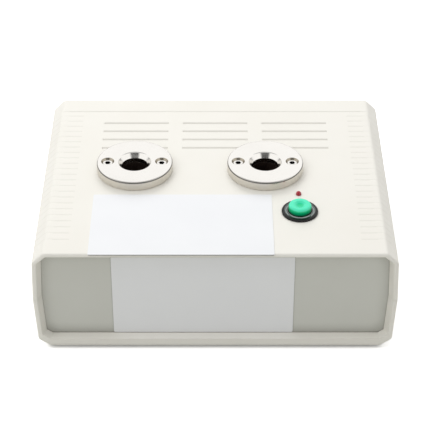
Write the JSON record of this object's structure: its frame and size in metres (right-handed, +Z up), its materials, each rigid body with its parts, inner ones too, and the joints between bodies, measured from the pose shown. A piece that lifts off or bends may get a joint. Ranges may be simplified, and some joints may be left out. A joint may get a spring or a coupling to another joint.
{
  "type": "spark plug tester",
  "caption": "Bench tester for spark plugs: off-white bevelled instrument case with plated plug sockets on top, sprung contacts in insulated wells, a green push button and a red lamp.",
  "frame": {"origin": "on the surface that the feet stand on, under the middle of the case", "axes": "+X to the right and +Y to the rear as seen by the user in front, +Z up"},
  "size_m": [0.2, 0.157, 0.0716],
  "materials": {
    "shell_plastic": "fine moulded grain",
    "panel_plastic": "fine moulded grain",
    "foot_rubber": "matt",
    "plated_steel": "bright nickel plate",
    "screw_steel": "zinc plated",
    "phenolic": "machined",
    "contact_brass": "turned",
    "spring_steel": "drawn wire",
    "button_black": "polished",
    "button_green": "polished",
    "switch_base": "laminate",
    "lamp_red": "clear tinted resin",
    "board_laminate": "solder resist",
    "capacitor_sleeve": "shrunk sleeve",
    "film_box": "moulded box",
    "sink_aluminium": "black anodised",
    "chip_black": "moulded",
    "block_green": "moulded",
    "core_iron": "stacked sheet",
    "potting_black": "cast resin",
    "winding_tape": "polyester tape",
    "strap_steel": "zinc plated",
    "inlet_black": "moulded",
    "fuse_glass": "clear",
    "hv_red": "silicone",
    "wire_black": "insulation",
    "wire_blue": "insulation",
    "wire_yellow": "insulation",
    "wire_white": "insulation",
    "wire_red": "insulation"
  },
  "bodies": {
    "case": {"top_shell": "shell_plastic", "bottom_shell": "shell_plastic", "front_panel": "panel_plastic", "rear_panel": "panel_plastic", "rubber_feet": "foot_rubber", "case_screws": "screw_steel", "left_socket_ring": "plated_steel", "right_socket_ring": "plated_steel", "socket_screws": "plated_steel", "socket_nuts": "screw_steel", "socket_washers": "screw_steel", "left_socket_sleeve": "phenolic", "right_socket_sleeve": "phenolic", "left_contact_spring": "spring_steel", "right_contact_spring": "spring_steel", "left_end_plug": "contact_brass", "right_end_plug": "contact_brass", "button_body": "button_black", "button_nut": "button_black", "button_spring": "spring_steel", "button_base": "switch_base", "button_terminals": "contact_brass", "lamp_lens": "lamp_red", "lamp_leads": "spring_steel", "main_board": "board_laminate", "board_screws": "screw_steel", "electrolytic_capacitors": "capacitor_sleeve", "film_capacitor": "film_box", "heat_sink": "sink_aluminium", "power_transistor": "chip_black", "control_chip": "chip_black", "terminal_blocks": "block_green", "coil_core": "core_iron", "coil_block": "potting_black", "coil_strap": "strap_steel", "transformer_core": "core_iron", "transformer_winding": "winding_tape", "transformer_strap": "strap_steel", "strap_screws": "screw_steel", "inlet_body": "inlet_black", "inlet_pins": "plated_steel", "inlet_screws": "screw_steel", "inlet_nuts": "screw_steel", "hv_leads": "hv_red", "ground_leads": "wire_black", "mains_wires": "wire_blue", "secondary_wires": "wire_yellow", "coil_wires": "wire_white", "button_wires": "wire_blue", "lamp_wires": "wire_red"},
    "test_button": {"button_cap": "button_green", "button_bridge": "contact_brass"},
    "left_contact": {"left_contact_plunger": "contact_brass"},
    "right_contact": {"right_contact_plunger": "contact_brass"},
    "fuse_carrier": {"fuse_drawer": "inlet_black", "fuse_tube": "fuse_glass", "fuse_caps": "plated_steel"}
  },
  "joints": [
    {"name": "button_press", "type": "slide", "parent": "case", "child": "test_button", "axis": [0, 0, -1], "range_m": [0, 0.003], "stiffness_N_per_m": 400, "springref_m": -0.004, "deforming": ["button_spring"]},
    {"name": "left_contact_press", "type": "slide", "parent": "case", "child": "left_contact", "axis": [0, 0, -1], "range_m": [0, 0.008], "stiffness_N_per_m": 350, "springref_m": -0.006, "deforming": ["left_contact_spring"]},
    {"name": "right_contact_press", "type": "slide", "parent": "case", "child": "right_contact", "axis": [0, 0, -1], "range_m": [0, 0.008], "stiffness_N_per_m": 350, "springref_m": -0.006, "deforming": ["right_contact_spring"]},
    {"name": "fuse_drawer_pull", "type": "slide", "parent": "case", "child": "fuse_carrier", "axis": [0, 1, 0], "range_m": [0, 0.016]}
  ]
}
